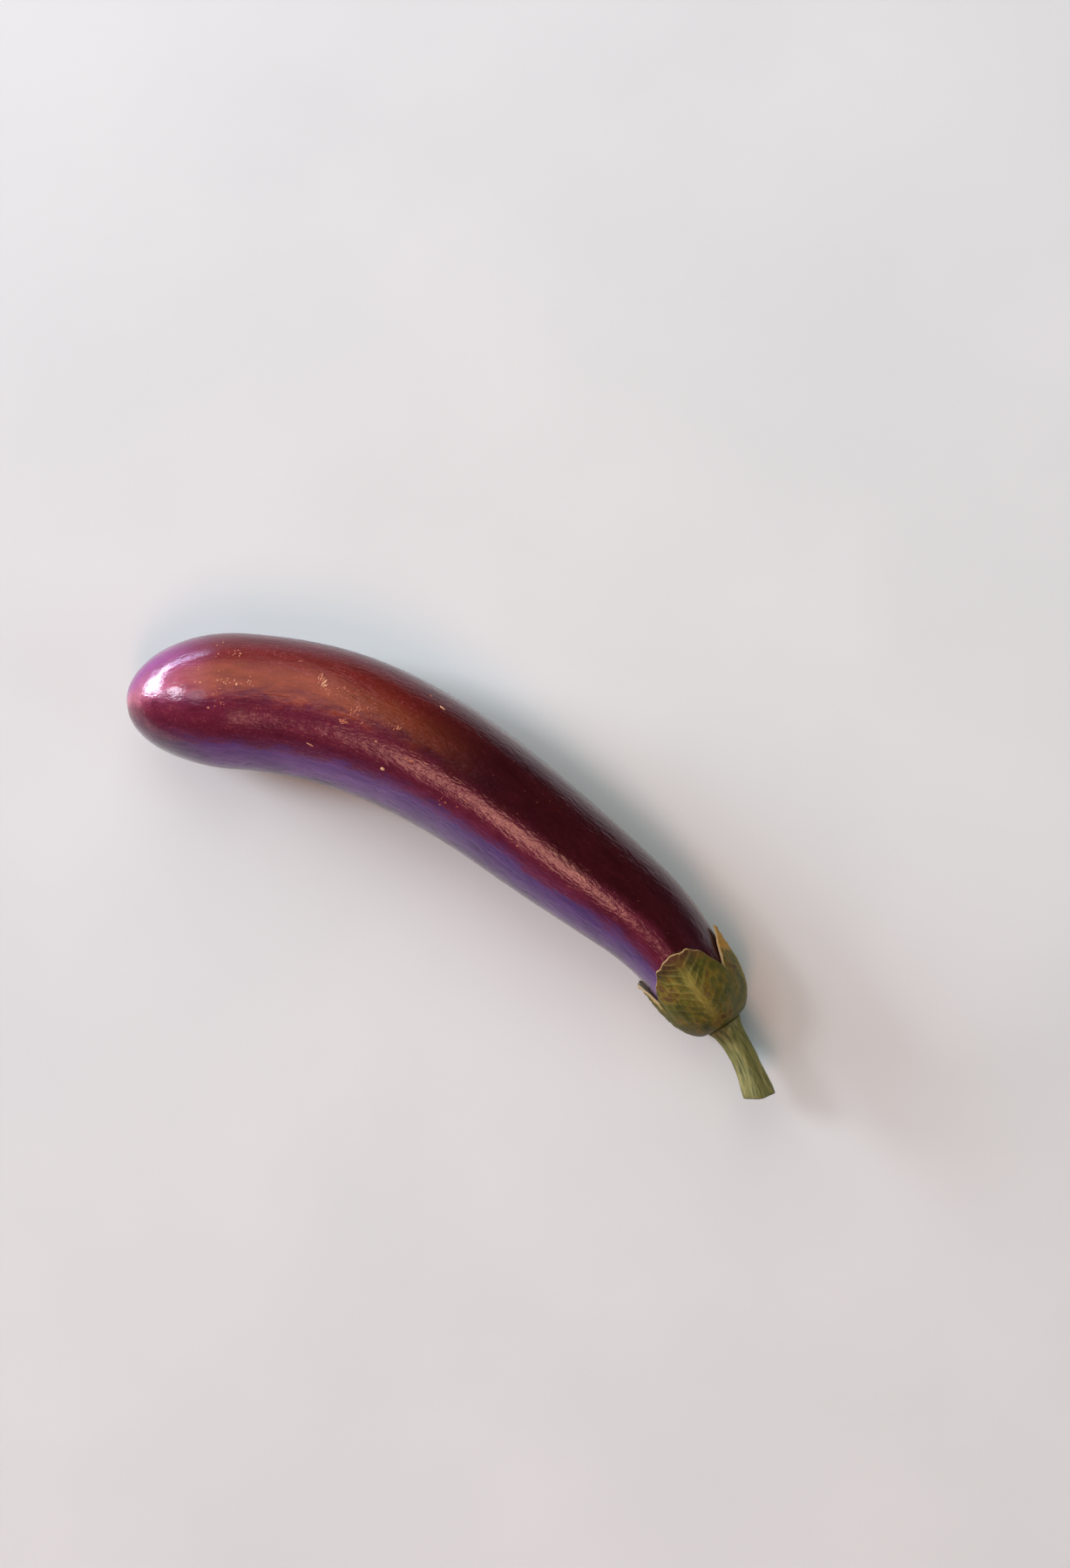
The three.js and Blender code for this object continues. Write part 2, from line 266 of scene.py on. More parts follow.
def wrap_tree():
    """Wraps a ribbed, dented skin round a rail, whose points each hold a radius and the way aside."""
    tree, given, result = node_tree_with(
        "wrapped round a rail",
        {
            "Sides": "NodeSocketInt",
            "Ridges": "NodeSocketInt",
            "Dent size": "NodeSocketFloat",
            "Dent depth": "NodeSocketFloat",
            "Seed": "NodeSocketFloat",
            "Surface": "NodeSocketMaterial",
        },
    )
    rail = given.outputs["Geometry"]
    count = add(tree, "GeometryNodeAttributeDomainSize", {"Geometry": rail}).outputs["Point Count"]
    rows = add(tree, "ShaderNodeMath", {0: given.outputs["Sides"], 1: 1.0}, operation="ADD")
    vertices = {"Vertices X": count, "Vertices Y": rows}
    grid = add(tree, "GeometryNodeMeshGrid", {"Size X": 1.0, "Size Y": 1.0, **vertices})
    spot = add(tree, "ShaderNodeSeparateXYZ", {0: add(tree, "GeometryNodeInputPosition")})
    last = add(tree, "ShaderNodeMath", {0: count, 1: 1.0}, operation="SUBTRACT")
    share = add(tree, "ShaderNodeMath", {0: spot.outputs["X"], 1: 0.5}, operation="ADD")
    post = add(tree, "ShaderNodeMath", {0: share, 1: last}, operation="MULTIPLY")
    index = add(tree, "ShaderNodeMath", {0: post}, operation="ROUND")
    turn = add(tree, "ShaderNodeMath", {0: spot.outputs["Y"], 1: 2 * math.pi}, operation="MULTIPLY")

    def at_post(name, kind):
        if name == "position":
            value = add(tree, "GeometryNodeInputPosition")
        else:
            value = add(tree, "GeometryNodeInputNamedAttribute", {"Name": name}, data_type=kind)
        links = {"Geometry": rail, "Value": value, "Index": index}
        return add(tree, "GeometryNodeSampleIndex", links, data_type=kind, domain="POINT").outputs[0]

    centre = at_post("position", "FLOAT_VECTOR")
    aside = at_post("aside", "FLOAT_VECTOR")
    lumps = add(tree, "ShaderNodeSeparateXYZ", {0: at_post("lumps", "FLOAT_VECTOR")})
    radius = at_post("radius", "FLOAT")
    station = at_post("station", "FLOAT")
    ridge = at_post("ridge", "FLOAT")
    ridge_angle = at_post("ridge_angle", "FLOAT")

    from_ridge = add(tree, "ShaderNodeMath", {0: turn, 1: ridge_angle}, operation="SUBTRACT")
    waves = [(from_ridge, given.outputs["Ridges"], 0.0, ridge)]
    waves += [(turn, turns, phase, lumps.outputs[axis]) for axis, (_, _, turns, phase) in zip("XY", LUMPS)]
    factor = 1.0
    for angle, times, phase, height in waves:
        whole = add(tree, "ShaderNodeMath", {0: angle, 1: times, 2: phase}, operation="MULTIPLY_ADD")
        wave = add(tree, "ShaderNodeMath", {0: whole}, operation="COSINE")
        factor = add(tree, "ShaderNodeMath", {0: wave, 1: height, 2: factor}, operation="MULTIPLY_ADD")

    cosine = add(tree, "ShaderNodeMath", {0: turn}, operation="COSINE")
    sine = add(tree, "ShaderNodeMath", {0: turn}, operation="SINE")
    plain = add(tree, "ShaderNodeMath", {0: radius, 1: factor}, operation="MULTIPLY")
    across = add(tree, "ShaderNodeMath", {0: plain, 1: cosine}, operation="MULTIPLY")
    beside = add(tree, "ShaderNodeMath", {0: plain, 1: sine}, operation="MULTIPLY")
    straight = add(tree, "ShaderNodeCombineXYZ", {"X": station, "Y": across, "Z": beside})
    scale = add(tree, "ShaderNodeMath", {0: 1.0, 1: given.outputs["Dent size"]}, operation="DIVIDE")
    dents = add(
        tree,
        "ShaderNodeTexNoise",
        {"Vector": straight, "W": given.outputs["Seed"], "Scale": scale, "Detail": 2.0},
        noise_dimensions="4D",
    )
    swing = add(tree, "ShaderNodeMath", {0: dents.outputs[0], 1: 0.5}, operation="SUBTRACT")
    depth = add(tree, "ShaderNodeMath", {0: swing, 1: given.outputs["Dent depth"]}, operation="MULTIPLY")
    body = add(tree, "ShaderNodeMath", {0: radius, 1: 4 * MM}, operation="DIVIDE", use_clamp=True)
    full = add(tree, "ShaderNodeMath", {0: depth, 1: body, 2: plain}, operation="MULTIPLY_ADD")
    up = add(tree, "ShaderNodeMath", {0: full, 1: cosine}, operation="MULTIPLY")
    out = add(tree, "ShaderNodeMath", {0: full, 1: sine}, operation="MULTIPLY")
    sideways = add(tree, "ShaderNodeVectorMath", {0: aside, "Scale": out}, operation="SCALE")
    upwards = add(tree, "ShaderNodeCombineXYZ", {"Z": up})
    moved = add(tree, "ShaderNodeVectorMath", {0: sideways, 1: upwards}, operation="ADD")
    target = add(tree, "ShaderNodeVectorMath", {0: centre, 1: moved}, operation="ADD")
    parts = add(tree, "ShaderNodeSeparateXYZ", {0: target})
    above = add(tree, "ShaderNodeMath", {0: parts.outputs["Z"], 1: 0.0}, operation="MAXIMUM")
    level = {"X": parts.outputs["X"], "Y": parts.outputs["Y"], "Z": above}
    resting = add(tree, "ShaderNodeCombineXYZ", level)

    kept = add(
        tree,
        "GeometryNodeStoreNamedAttribute",
        {"Geometry": grid.outputs["Mesh"], "Name": "along", "Value": straight},
        data_type="FLOAT_VECTOR",
        domain="POINT",
    )
    shaped = add(tree, "GeometryNodeSetPosition", {"Geometry": kept, "Position": resting})
    closed = add(tree, "GeometryNodeMergeByDistance", {"Geometry": shaped, "Distance": 0.005 * MM})
    soft = add(tree, "GeometryNodeSetShadeSmooth", {"Geometry": closed})
    real = add(tree, "GeometryNodeRealizeInstances", {"Geometry": soft})
    done = add(tree, "GeometryNodeSetMaterial", {"Geometry": real, "Material": given.outputs["Surface"]})
    tree.links.new(done.outputs[0], result.inputs[0])
    return tree


def rail(name, posts):
    """A line of posts for the wrap tree.

    Each post is a station, point, radius, ridge height, ridge angle and the heights of its lumps.
    """
    asides = []
    for station, *_ in posts:
        heading = heading_at(station)
        asides.append((math.sin(heading), math.cos(heading), 0.0))
    attributes = {
        "station": [post[0] * MM for post in posts],
        "aside": asides,
        "radius": [post[2] * MM for post in posts],
        "ridge": [post[3] for post in posts],
        "ridge_angle": [post[4] for post in posts],
        "lumps": [(*post[5], 0.0) for post in posts],
    }
    return mesh_object(name, [post[1] for post in posts], [], attributes)


# The pieces.


def make_fruit(tree, surface):
    """The fruit, with its rows close together at both round ends."""
    body_end = FRUIT_END - SHOULDER_ROUND
    stations = []
    for i in range(BLOSSOM_ROWS + 1):
        stations.append(BLOSSOM_ROUND * (1 - math.cos(math.pi / 2 * (i / BLOSSOM_ROWS) ** 1.2)))
    for i in range(1, BODY_ROWS + 1):
        stations.append(BLOSSOM_ROUND + (body_end - BLOSSOM_ROUND) * i / BODY_ROWS)
    for i in range(1, SHOULDER_ROWS + 1):
        stations.append(body_end + SHOULDER_ROUND * math.sin(math.pi / 2 * i / SHOULDER_ROWS))
    posts = []
    for station in stations:
        radius = fruit_radius_at(station)
        dimple = SCAR_DEPTH * math.exp(-((radius / SCAR_RADIUS) ** 2))
        ridge = RIDGE_HEIGHT * uneven_fade_at(station)
        point = place(station + dimple, 0, 0)
        posts.append((station, point, radius, ridge, ridge_angle_at(station), lumps_at(station)))
    fruit = rail("fruit skin", posts)
    fruit.name = "fruit_skin"
    dents = {"Dent size": 26 * MM, "Dent depth": 0.35 * MM, "Seed": 4.0}
    return baked(fruit, tree, {"Sides": FRUIT_SIDES, "Ridges": RIDGE_COUNT, **dents, "Surface": surface})


def make_stem(tree, surface):
    """The stalk: a flared foot, soft flutes, and a slanted cut with its pith sunk in."""
    foot = CROWN_AT + GAP
    posts = [(foot, place(foot, 0, 0), 0.0, 0.0, 0.0, (0, 0))]
    for i in range(STEM_ROWS + 1):
        along = STEM_LENGTH * (i / STEM_ROWS) ** 1.2
        radius = STEM_RADIUS + (STEM_FOOT - STEM_RADIUS) * math.exp(-along / 3.2)
        radius += STEM_SWELLS * smooth((along - STEM_LENGTH * 0.55) / (STEM_LENGTH * 0.45))
        posts.append((foot + along, place(foot + along, 0, 0), radius, FLUTE_HEIGHT, 0.0, (0, 0)))
    end = foot + STEM_LENGTH
    for share in (0.93, 0.8, 0.6, 0.45):
        posts.append((end, place(end, 0, 0), radius * share, FLUTE_HEIGHT * share, 0.0, (0, 0)))
    for share in (0.8, 0.4, 0.0):
        posts.append((end, place(end - PITH_DEPTH, 0, 0), PITH_RADIUS * share, 0.0, 0.0, (0, 0)))
    stem = rail("stem_bark", posts)
    dents = {"Dent size": 3 * MM, "Dent depth": 0.5 * MM, "Seed": 1.0}
    stem = baked(stem, tree, {"Sides": STEM_SIDES, "Ridges": STEM_FLUTES, **dents, "Surface": surface})

    # The cut leans towards one side, and the stalk's rings lean with it, more and more towards the cut.
    for vertex, item in zip(stem.data.vertices, stem.data.attributes["along"].data):
        station, up, out = item.vector / MM
        over = (up * math.cos(CUT_TURN) + out * math.sin(CUT_TURN)) / (STEM_RADIUS + STEM_SWELLS)
        lean = CUT_SLANT * smooth((station - foot) / STEM_LENGTH) * over
        heading = heading_at(station)
        vertex.co += Vector((math.cos(heading), -math.sin(heading), 0)) * lean * MM
    return stem


def lobe_at(degrees):
    """The lobe at an angle, how far across it that is, and how far off its midrib in degrees.

    Across runs from 0 at the midrib to 1 at a notch.
    """
    if degrees > LOBES[-1][2]:
        degrees -= 360
    for lobe in LOBES:
        first, peak, last = lobe[:3]
        if first <= degrees <= last:
            span = peak - first if degrees < peak else last - peak
            return lobe, abs(degrees - peak) / span, degrees - peak
    raise ValueError(degrees)


def calyx_section(angle):
    """The calyx at one angle, from under the crown to the margin and back over the outside."""
    lobe, across, off = lobe_at(math.degrees(angle))
    tip, blunt, lift = lobe[3:]
    wander = noise.noise(Vector((math.cos(angle) * 4, math.sin(angle) * 4, 1.7)))
    wave = WAVE_HEIGHT * math.sin(MARGIN_WAVES * angle) * across * (1 - across) + MARGIN_WANDER * wander
    margin = tip + (NOTCH_AT - tip) * across**blunt + wave

    def under_at(station):
        t = smooth((NOTCH_AT - station) / (NOTCH_AT - tip))
        return fruit_radius_at(station) * uneven_at(station, angle) + GAP + lift * t * t

    section = []
    for i in reversed(range(HOOD_INNER_ROWS)):
        station = margin + (FRUIT_END - margin) * (1 - (1 - i / HOOD_INNER_ROWS) ** 1.7)
        rim = math.sqrt(1 - max(1 - (station - margin) / RIM_ROUND, 0) ** 2)
        radius = under_at(station) + TIP_THICK * 0.5 * (1 - rim)
        clear = GAP * smooth((station - NOTCH_AT) / 12)
        section.append((station + clear, radius, station - margin, 1.0, 0.0))
    for i in range(HOOD_OUTER_ROWS + 1):
        share = i / HOOD_OUTER_ROWS
        station = margin + (CROWN_AT - margin) * (0.35 * share + 0.65 * share**1.6)
        t = min(max((NOTCH_AT - station) / (NOTCH_AT - tip), 0), 1)
        thickness = HOOD_THICK + (TIP_THICK - HOOD_THICK) * t
        closing = min(max((station - DOME_FROM) / (CROWN_AT - DOME_FROM), 0), 1)
        open_radius = NECK_RADIUS + GAP + thickness
        dome = CROWN_RADIUS + (open_radius - CROWN_RADIUS) * math.sqrt(1 - closing**2)
        low = under_at(station) + thickness
        radius = low if station < DOME_FROM else max(low, dome)
        fade = smooth((CROWN_AT - station) / 9)
        veins = calyx_veins(station, off, across, t)
        radius += fade * (veins + calyx_wrinkles(station, angle))
        rim = math.sqrt(1 - max(1 - (station - margin) / RIM_ROUND, 0) ** 2)
        radius -= thickness * 0.5 * (1 - rim)
        section.append((station, radius, station - margin, 0.0, fade * veins / MIDRIB_HEIGHT))
    return section


def calyx_veins(station, off, across, towards_tip):
    """The midrib and the side veins that leave it at a slant, in millimetres."""
    midrib = MIDRIB_HEIGHT * math.exp(-((off / MIDRIB_WIDTH) ** 2)) * (1 - towards_tip)
    slant = station / VEIN_SPACING + abs(off) / 15 + 0.5 * noise.noise(Vector((station / 6, off / 20, 3.1)))
    side_vein = max(math.cos(slant * 2 * math.pi), 0) ** 6 * smooth(abs(off) / 8) * (1 - across)
    return midrib + VEIN_HEIGHT * side_vein


def calyx_wrinkles(station, angle):
    spread = Vector((station / 9, math.cos(angle) * 7, math.sin(angle) * 7))
    return WRINKLE_HEIGHT * noise.fractal(spread, 0.8, 2.1, 4)


def make_calyx(surface):
    """The calyx, a leathery hood with its lobes, one closed shell."""
    angles = [math.radians(LOBES[0][0] + 360 * k / HOOD_COLUMNS) for k in range(HOOD_COLUMNS)]
    sections = [calyx_section(angle) for angle in angles]
    rings, attributes = [], {"along": [(0.0, 0.0, 0.0)], "edge": [20.0], "inside": [1.0], "vein": [0.0]}
    for row in range(len(sections[0])):
        ring = []
        for angle, section in zip(angles, sections):
            station, radius, edge, inside, vein = section[row]
            ring.append(place(station, angle, radius))
            spread = (station * MM, radius * math.cos(angle) * MM, radius * math.sin(angle) * MM)
            attributes["along"].append(spread)
            attributes["edge"].append(edge)
            attributes["inside"].append(inside)
            attributes["vein"].append(vein)
        rings.append(ring)
    crown = {"along": (CROWN_AT * MM, 0.0, 0.0), "edge": 30.0, "inside": 0.0, "vein": 0.0}
    for name, value in crown.items():
        attributes[name].append(value)
    points, faces = skin_over(place(FRUIT_END + GAP, 0, 0), rings, place(CROWN_AT, 0, 0))
    calyx = mesh_object("calyx_hood", points, faces, attributes)
    for face in calyx.data.polygons:
        face.use_smooth = True
    calyx.data.materials.append(surface)
    return calyx


# The marks on the skin: dry nicks, dots and scuffs.

# Each row is a mark or a patch of them: the station and angle of its middle, how far it spreads along
# (mm) and round (degrees), how many marks it has, their length and width, their turn from the fruit's
# length (degrees), and how pale they are.
MARKS = (
    (38, 39, 7, 10, 13, 0.6, 0.45, 0, 0.75),
    (29, 25, 6, 8, 5, 0.65, 0.5, 0, 0.75),
    (28, 13, 4, 4, 5, 0.6, 0.45, 0, 0.65),
    (38, 15, 5, 4, 10, 0.8, 0.55, 60, 0.9),
    (45, 16, 3, 4, 6, 0.6, 0.5, 20, 0.7),
    (34, 1, 4, 14, 10, 0.6, 0.45, 0, 0.6),
    (31, -8, 0, 0, 1, 1.0, 0.7, 10, 0.75),
    (60, 41, 0.8, 1, 4, 1.6, 0.35, 40, 0.45),
    (67.5, 31, 1.2, 5, 7, 1.5, 0.4, 80, 0.7),
    (68.5, 24, 1.4, 6, 10, 1.6, 0.45, 65, 0.85),
    (71, 19, 1.4, 4, 6, 1.2, 0.4, 45, 0.65),
    (76, 23, 5, 9, 16, 0.9, 0.35, 30, 0.5),
    (82, 15, 2.4, 10, 18, 1.2, 0.35, 75, 0.6),
    (86, 16, 10, 9, 22, 0.8, 0.3, 20, 0.4),
    (88, 8, 9, 5, 12, 0.9, 0.3, 30, 0.45),
    (79, -2, 2, 1.5, 6, 2.2, 0.4, 15, 0.6),
    (91.5, -8, 0, 0, 1, 1.0, 0.7, 0, 0.75),
    (96, 10, 1, 2, 10, 1.3, 0.4, 80, 0.7),
    (69, -29.5, 0, 0, 1, 3.0, 0.5, 10, 0.95),
    (97.5, -28, 0, 0, 1, 1.6, 1.3, 0, 1.1),
    (104, -10, 2, 2, 5, 1.2, 0.5, 0, 0.7),
    (106, 47.5, 0, 0, 1, 2.4, 0.9, -15, 0.9),
    (101, 54, 0, 0, 1, 1.0, 0.7, 0, 0.7),
    (124, -24, 8, 6, 8, 0.7, 0.5, 0, 0.5),
    (153, -21, 0, 0, 1, 0.9, 0.7, 0, 0.6),
    (150, -120, 30, 30, 16, 1.0, 0.5, 10, 0.6),
    (80, 130, 30, 30, 18, 1.0, 0.5, 10, 0.6),
)
MARK_HEIGHT = 0.06


def mark_tree():
    """Sets a flat, oval mark on each point, with the size and the turn that the point holds."""
    sockets = {"Sides": "NodeSocketInt", "Surface": "NodeSocketMaterial"}
    tree, given, result = node_tree_with("marks on a skin", sockets)
    oval = add(
        tree, "GeometryNodeMeshUVSphere", {"Radius": 1.0, "Segments": given.outputs["Sides"], "Rings": 4}
    )
    turn = add(tree, "GeometryNodeInputNamedAttribute", {"Name": "turn"}, data_type="FLOAT_VECTOR")
    size = add(tree, "GeometryNodeInputNamedAttribute", {"Name": "size"}, data_type="FLOAT_VECTOR")
    links = {"Points": given.outputs["Geometry"], "Instance": oval, "Rotation": turn, "Scale": size}
    placed = add(tree, "GeometryNodeInstanceOnPoints", links)
    real = add(tree, "GeometryNodeRealizeInstances", {"Geometry": placed})
    soft = add(tree, "GeometryNodeSetShadeSmooth", {"Geometry": real})
    done = add(tree, "GeometryNodeSetMaterial", {"Geometry": soft, "Material": given.outputs["Surface"]})
    tree.links.new(done.outputs[0], result.inputs[0])
    return tree


def make_marks(fruit, surface):
    """The marks, each laid on the skin under its station and angle."""
    draw = random.Random(11)
    points, turns, sizes, tones = [], [], [], []
    for station, degrees, along, round_, count, length, width, turn, tone in MARKS:
        for _ in range(count):
            at = station + draw.gauss(0, 0.5) * along
            angle = math.radians(degrees + draw.gauss(0, 0.5) * round_)
            outside, middle = place(at, angle, 2 * BELLY_RADIUS), place(at, angle, 0)
            grows = 1.0 if count == 1 else draw.uniform(0.5, 1.2)
            _, point, normal, _ = fruit.ray_cast(outside, middle - outside)
            heading = heading_at(at)
            lengthwise = Vector((math.cos(heading), -math.sin(heading), 0))
            lengthwise = (lengthwise - normal * normal.dot(lengthwise)).normalized()
            lengthwise.rotate(Matrix.Rotation(math.radians(turn + draw.gauss(0, 12)), 3, normal))
            axes = Matrix((lengthwise, normal.cross(lengthwise), normal)).transposed()
            points.append(point)
            turns.append(Vector(axes.to_euler()))
            sizes.append(Vector((length * grows / 2, width * grows / 2, MARK_HEIGHT)) * MM)
            tones.append(tone * draw.uniform(0.8, 1.1))
    marks = mesh_object("skin_marks", points, [], {"turn": turns, "size": sizes, "tone": tones})
    return baked(marks, mark_tree(), {"Sides": 10, "Surface": surface})


# The materials.

# The tones of the skin, each named for its place on the fruit. The violet, indigo, bronze, ember, rose and
# magenta carry painted light, as said beside them.
PLUM = "#380e2c"  # the underside
VIOLET_REFLECTION = "#6a4280"  # the bend's inner side: a painted bluish reflection from below
INDIGO_REFLECTION = "#543468"  # the neck's inner side: a painted bluish reflection from below
MAROON = "#601a2c"  # between the violet and the bronze
BRONZE_AND_SHEEN = "#843a10"  # the top of the body, which the sun has turned
WINE = "#681c0c"  # the top of the body: a browner tone with a painted warm copper reflection on it
GARNET = "#500810"  # the flank below the wine
EMBER_SHADE = "#360302"  # the top of the neck, darkened with painted shade
ROSE_GLOW = "#964a5c"  # the top of the blossom end: a painted rosy glow round the highlight
MAGENTA_AND_GLOW = "#701264"  # the blossom end's outer side: its own magenta, brightened with a painted glow round the highlight

# How the tones run round the fruit at the blossom end, the body and the neck, as angles in degrees, with
# painted reflections, glow and shade among them.
BLOSSOM_RING = (
    (-180, PLUM), (-70, PLUM), (-10, MAROON), (15, ROSE_GLOW), (55, MAGENTA_AND_GLOW), (105, PLUM), (180, PLUM),
)
BODY_RING = (
    (-180, PLUM), (-85, PLUM), (-65, VIOLET_REFLECTION), (-50, VIOLET_REFLECTION), (-35, MAROON), (-5, MAROON),
    (15, BRONZE_AND_SHEEN), (20, BRONZE_AND_SHEEN), (40, WINE), (65, GARNET), (180, PLUM),
)
NECK_RING = (
    (-180, PLUM), (-85, PLUM), (-60, INDIGO_REFLECTION), (-45, INDIGO_REFLECTION), (-30, MAROON), (-10, MAROON),
    (5, EMBER_SHADE), (70, EMBER_SHADE), (180, PLUM),
)

# The stations where the tones, the rubbed wax and the ripples change.
BODY_STARTS, BODY_FULL, NECK_STARTS, NECK_FULL = 10, 36, 76, 134
RUB_STARTS, RUB_FULL, RUB_FADES, RUB_ENDS = 16, 34, 60, 125
RIPPLE_STARTS, RIPPLE_FULL = 22, 60

# The patterns in the skin: how much each is squeezed along the fruit, which draws it out, its size in
# millimetres, its detail and its roughness.
SKIN_PATTERNS = (
    ("clouds", 1.0, 13, 3.0, 0.5),
    ("mottles", 0.3, 4.5, 5.0, 0.65),
    ("streaks", 0.3, 1.8, 4.0, 0.6),
    ("hatching", 0.3, 0.9, 3.0, 0.5),
    ("speckle", 1.0, 0.8, 3.0, 0.5),
)
PORE_NET = 3
SCUFF, PORE = "#a8605c", "#b07058"


def skin_patterns(tree, along):
    patterns = {}
    for name, squeeze, size, detail, roughness in SKIN_PATTERNS:
        squeezed = {0: along, 1: (squeeze, 1.0, 1.0)}
        drawn_out = add(tree, "ShaderNodeVectorMath", squeezed, operation="MULTIPLY")
        settings = {"Scale": 1 / (size * MM), "Detail": detail, "Roughness": roughness}
        patterns[name] = add(tree, "ShaderNodeTexNoise", {"Vector": drawn_out, **settings})
    return patterns


def skin_tones(tree, part, to_neck, patterns):
    """The three rings of tones, with their painted reflections, glow and shade, mixed along the fruit, with
    borders that the patterns feather.
    """
    shifts = (("clouds", 0.3), ("mottles", 0.5), ("hatching", 0.2))
    angle = add(tree, "ShaderNodeMath", {0: part.outputs["Z"], 1: part.outputs["Y"]}, operation="ARCTAN2")
    for name, most in shifts:
        shifted = {0: patterns[name], 1: most, 2: angle}
        angle = add(tree, "ShaderNodeMath", shifted, operation="MULTIPLY_ADD")
    mean_shift = sum(most for _, most in shifts) / 2
    turn = add(
        tree,
        "ShaderNodeMapRange",
        {"Value": angle, "From Min": mean_shift - math.pi, "From Max": mean_shift + math.pi},
    )
    blossom, body, neck = (
        add(tree, "ShaderNodeValToRGB", {0: turn}, [(degrees / 360 + 0.5, tone) for degrees, tone in ring])
        for ring in (BLOSSOM_RING, BODY_RING, NECK_RING)
    )
    to_body = add(
        tree,
        "ShaderNodeMapRange",
        {"Value": part.outputs["X"], "From Min": BODY_STARTS * MM, "From Max": BODY_FULL * MM},
        interpolation_type="SMOOTHSTEP",
    )
    first = add(tree, "ShaderNodeMix", {"Factor": to_body, "A": blossom, "B": body}, data_type="RGBA")
    whole = {"Factor": to_neck, "A": first.outputs["Result"], "B": neck}
    return add(tree, "ShaderNodeMix", whole, data_type="RGBA").outputs["Result"]


def skin_scuffs(tree, to_neck, patterns, tone):
    """Fine pale scuffs over the tone, thicker in some of the mottles, and few on the neck."""
    scuffs = add(
        tree,
        "ShaderNodeMapRange",
        {"Value": patterns["speckle"], "From Min": 0.53, "From Max": 0.7, "To Min": 0.0, "To Max": 0.28},
    )
    thick = add(
        tree,
        "ShaderNodeMapRange",
        {"Value": patterns["mottles"], "From Min": 0.42, "From Max": 0.6, "To Min": 0.15, "To Max": 1.0},
    )
    off_neck = add(tree, "ShaderNodeMath", {0: to_neck, 1: -0.85, 2: 1.0}, operation="MULTIPLY_ADD")
    kept = add(tree, "ShaderNodeMath", {0: scuffs, 1: off_neck}, operation="MULTIPLY")
    scuffing = add(tree, "ShaderNodeMath", {0: kept, 1: thick}, operation="MULTIPLY")
    scuffed = {"Factor": scuffing, "A": tone, "B": linear(SCUFF)}
    return add(tree, "ShaderNodeMix", scuffed, data_type="RGBA").outputs["Result"]


def skin_pores(tree, along, tone):
    """Pale pores over the tone, one in every few cells of a net."""
    cells = add(tree, "ShaderNodeTexVoronoi", {"Vector": along, "Scale": 1 / (PORE_NET * MM)})
    off_middle = cells.outputs["Distance"]
    pore = add(
        tree,
        "ShaderNodeMapRange",
        {"Value": off_middle, "From Min": 0.05, "From Max": 0.11, "To Min": 0.3, "To Max": 0.0},
    )
    pick = add(tree, "ShaderNodeSeparateColor", {0: cells.outputs["Color"]})
    some = add(tree, "ShaderNodeMath", {0: pick, 1: 0.7}, operation="GREATER_THAN")
    dotted = add(tree, "ShaderNodeMath", {0: pore, 1: some}, operation="MULTIPLY")
    pored = {"Factor": dotted, "A": tone, "B": linear(PORE)}
    return add(tree, "ShaderNodeMix", pored, data_type="RGBA").outputs["Result"]


def skin_wax(tree, station, mottled):
    """How thick the wax is. It is thinner on the thick half of the body, where it has been rubbed."""
    from_tip = add(
        tree,
        "ShaderNodeMapRange",
        {"Value": station, "From Min": RUB_STARTS * MM, "From Max": RUB_FULL * MM, "To Max": 0.5},
        interpolation_type="SMOOTHSTEP",
    )
    fades = {"From Min": RUB_FADES * MM, "From Max": RUB_ENDS * MM, "To Min": 1.0, "To Max": 0.0}
    from_neck = add(
        tree, "ShaderNodeMapRange", {"Value": station, **fades}, interpolation_type="SMOOTHSTEP"
    )
    rubbed = add(tree, "ShaderNodeMath", {0: from_tip, 1: from_neck}, operation="MULTIPLY")
    left = add(tree, "ShaderNodeMath", {0: 0.95, 1: rubbed}, operation="SUBTRACT")
    return add(tree, "ShaderNodeMath", {0: left, 1: mottled}, operation="MULTIPLY", use_clamp=True)


def skin_ripples(tree, station, patterns):
    """Fine ripples, which fray the edges of what the skin mirrors, more so past the blossom end."""
    fray = add(
        tree,
        "ShaderNodeMapRange",
        {"Value": station, "From Min": RIPPLE_STARTS * MM, "From Max": RIPPLE_FULL * MM, "To Max": 0.7},
    )
    height = {0: patterns["hatching"], 1: fray, 2: patterns["streaks"]}
    rippled = add(tree, "ShaderNodeMath", height, operation="MULTIPLY_ADD")
    return add(tree, "ShaderNodeBump", {"Height": rippled, "Strength": 0.5, "Distance": 0.3 * MM})


